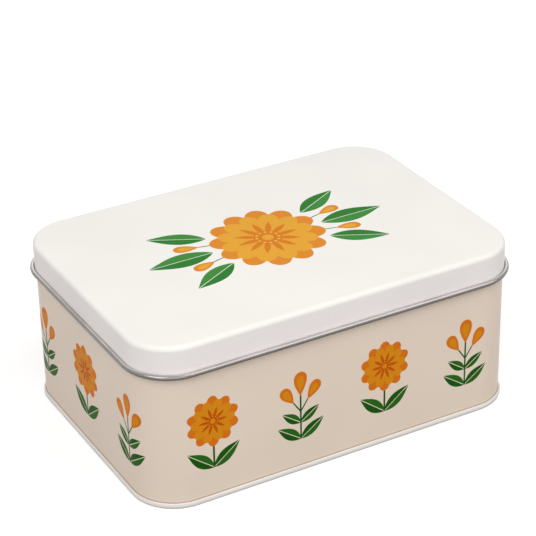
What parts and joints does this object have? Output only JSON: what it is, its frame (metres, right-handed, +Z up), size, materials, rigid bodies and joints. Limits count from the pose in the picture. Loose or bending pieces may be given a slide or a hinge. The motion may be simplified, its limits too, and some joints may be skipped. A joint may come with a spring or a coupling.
{
  "type": "metal lunch box",
  "caption": "Rectangular tinplate lunch box with rounded corners and a lift-off slip lid with a curled edge.",
  "frame": {"origin": "centre of the foot of the closed tin, on the surface it stands on", "axes": "+X along the length, +Y across the width towards the rear wall with the lock seam, +Z up"},
  "size_m": [0.2058, 0.1458, 0.086],
  "materials": {
    "printed_tinplate": "satin",
    "white_tinplate": "satin",
    "lid_enamel": "satin"
  },
  "bodies": {
    "tin": {"body_wall": "printed_tinplate", "bottom_plate": "white_tinplate"},
    "lid": {"lid": "lid_enamel"}
  },
  "joints": [
    {"name": "lid_lift", "type": "slide", "parent": "tin", "child": "lid", "axis": [0, 0, 1], "range_m": [0, 0.12]}
  ]
}
